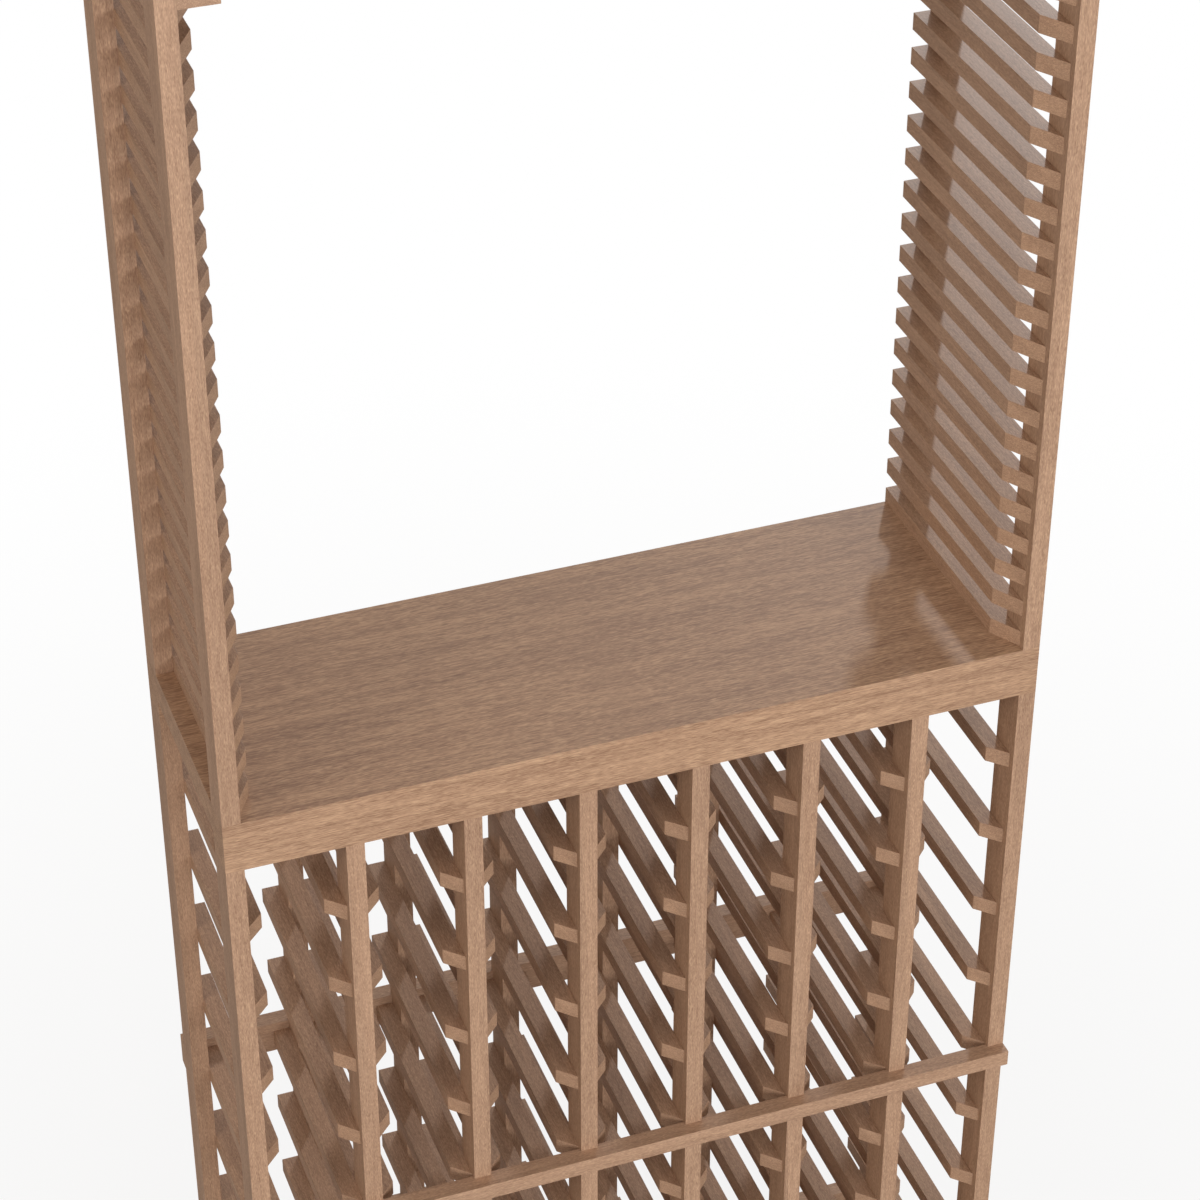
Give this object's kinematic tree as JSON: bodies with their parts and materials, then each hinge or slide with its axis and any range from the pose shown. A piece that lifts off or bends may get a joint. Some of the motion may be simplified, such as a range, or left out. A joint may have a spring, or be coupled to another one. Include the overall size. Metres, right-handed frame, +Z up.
{
  "type": "wine tasting station",
  "caption": "Solid wood wine rack with bevelled bottle rails, a tasting counter, open side ladders above it and an overhead rack for stemware.",
  "frame": {"origin": "on the floor, at the middle of the whole unit's footprint", "axes": "+X to the right seen from the front, +Y to the back, +Z up"},
  "size_m": [0.8016, 0.309, 1.862],
  "materials": {
    "post_wood": "satin lacquer",
    "rail_wood": "satin lacquer",
    "counter_wood": "satin lacquer, a little glossier than the posts",
    "ledge_wood": "satin lacquer",
    "rack_wood": "satin lacquer",
    "dowel_wood": "bare fluteless beech",
    "screw_steel": "zinc plated"
  },
  "bodies": {
    "root": {"lower_front_post_1": "post_wood", "lower_front_post_2": "post_wood", "lower_front_post_3": "post_wood", "lower_front_post_4": "post_wood", "lower_front_post_5": "post_wood", "lower_front_post_6": "post_wood", "lower_front_post_7": "post_wood", "lower_front_post_8": "post_wood", "lower_rear_post_1": "post_wood", "lower_rear_post_2": "post_wood", "lower_rear_post_3": "post_wood", "lower_rear_post_4": "post_wood", "lower_rear_post_5": "post_wood", "lower_rear_post_6": "post_wood", "lower_rear_post_7": "post_wood", "lower_rear_post_8": "post_wood", "column_1_rails_left": "rail_wood", "column_1_rails_right": "rail_wood", "column_2_rails_left": "rail_wood", "column_2_rails_right": "rail_wood", "column_3_rails_left": "rail_wood", "column_3_rails_right": "rail_wood", "column_4_rails_left": "rail_wood", "column_4_rails_right": "rail_wood", "column_5_rails_left": "rail_wood", "column_5_rails_right": "rail_wood", "column_6_rails_left": "rail_wood", "column_6_rails_right": "rail_wood", "column_7_rails_left": "rail_wood", "column_7_rails_right": "rail_wood", "middle_front_ledge": "ledge_wood", "base_front_ledge": "ledge_wood", "middle_rear_board": "ledge_wood", "base_rear_board": "ledge_wood", "counter_front_strip": "counter_wood", "counter_rear_strip": "counter_wood", "counter_board": "counter_wood", "upper_front_post_left": "post_wood", "upper_front_post_right": "post_wood", "upper_rear_post_left": "post_wood", "upper_rear_post_right": "post_wood", "upper_rungs_left": "rail_wood", "upper_rungs_right": "rail_wood", "stem_flange_1": "rack_wood", "stem_flange_2": "rack_wood", "stem_flange_3": "rack_wood", "stem_flange_4": "rack_wood", "stem_flange_5": "rack_wood", "stem_flange_6": "rack_wood", "stem_flange_7": "rack_wood", "stem_flange_8": "rack_wood", "stem_webs": "rack_wood", "top_panel": "rack_wood", "counter_dowels": "dowel_wood", "upper_post_dowels": "dowel_wood", "ledge_dowels": "dowel_wood", "counter_screws": "screw_steel", "rear_board_screws": "screw_steel", "flange_screws": "screw_steel", "top_panel_screws": "screw_steel"}
  },
  "joints": []
}
